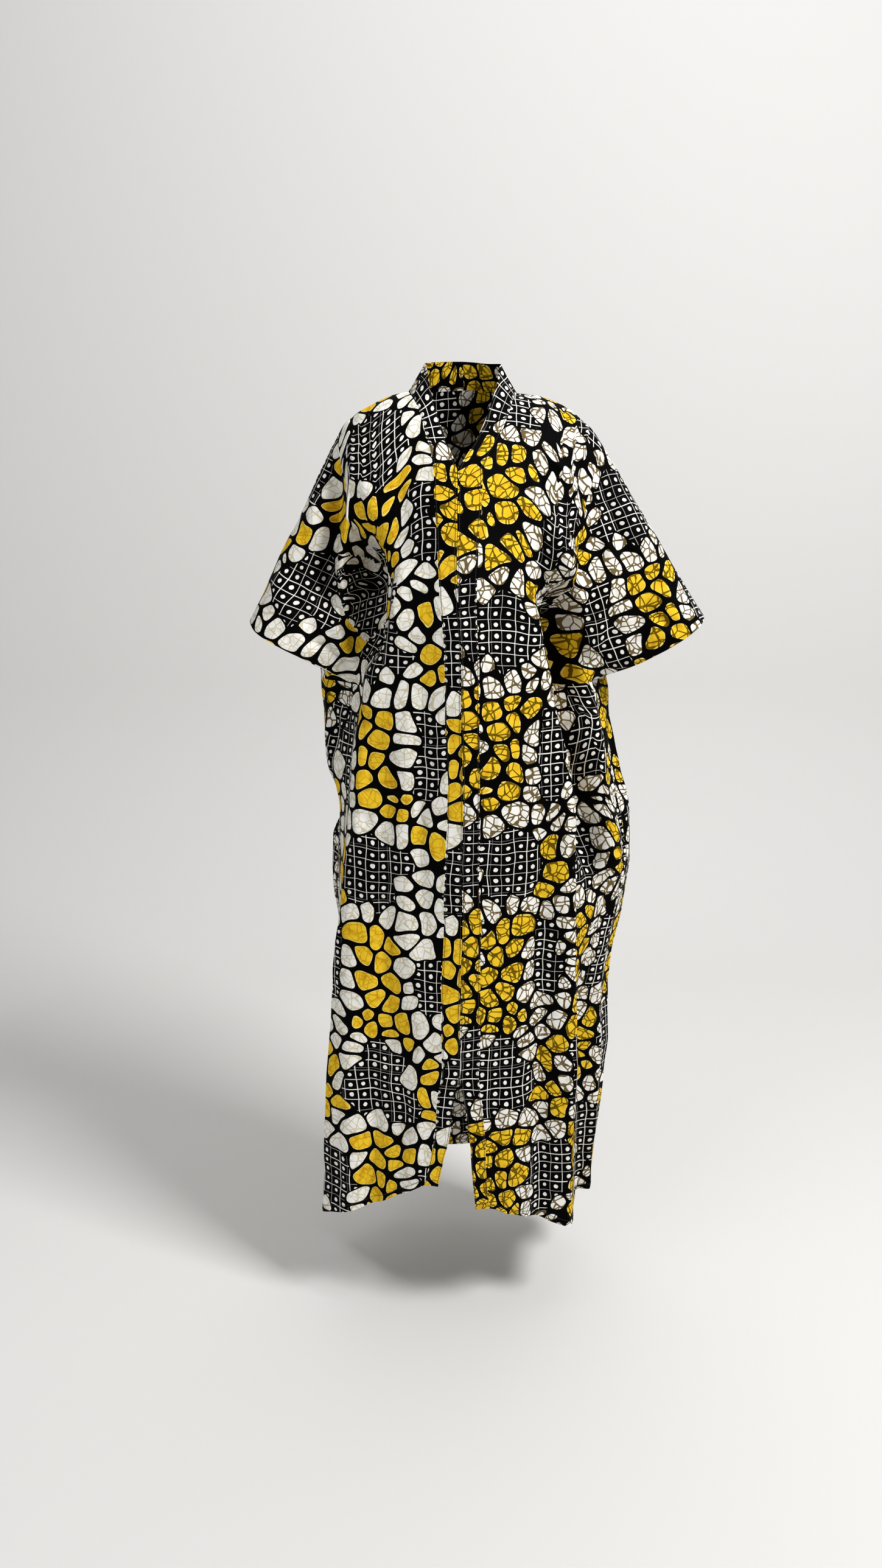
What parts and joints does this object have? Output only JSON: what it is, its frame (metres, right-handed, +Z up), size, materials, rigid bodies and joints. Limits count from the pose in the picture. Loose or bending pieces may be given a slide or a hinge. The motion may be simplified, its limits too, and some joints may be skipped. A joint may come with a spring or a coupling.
{
  "type": "open-front boubou robe",
  "caption": "Ankle-length open-front boubou robe in wax-print cotton, worn form and hollow, with wide short sleeves cut in one with the body and a banded V neck.",
  "frame": {"origin": "the middle of the neck opening at shoulder level, where the wearer's shoulders and neck carry the robe", "axes": "+Z up, the front faces -Y, +X is the wearer's left"},
  "size_m": [0.6987, 0.3115, 1.3844],
  "materials": {
    "wax_print_faint": "crisp printed cotton with faint crackle",
    "wax_print_crackled": "crisp printed cotton with strong olive-brown crackle"
  },
  "bodies": {
    "root": {"front_right": "wax_print_faint", "front_left": "wax_print_crackled", "back": "wax_print_crackled", "band_right": "wax_print_crackled", "band_left": "wax_print_crackled"}
  },
  "joints": []
}
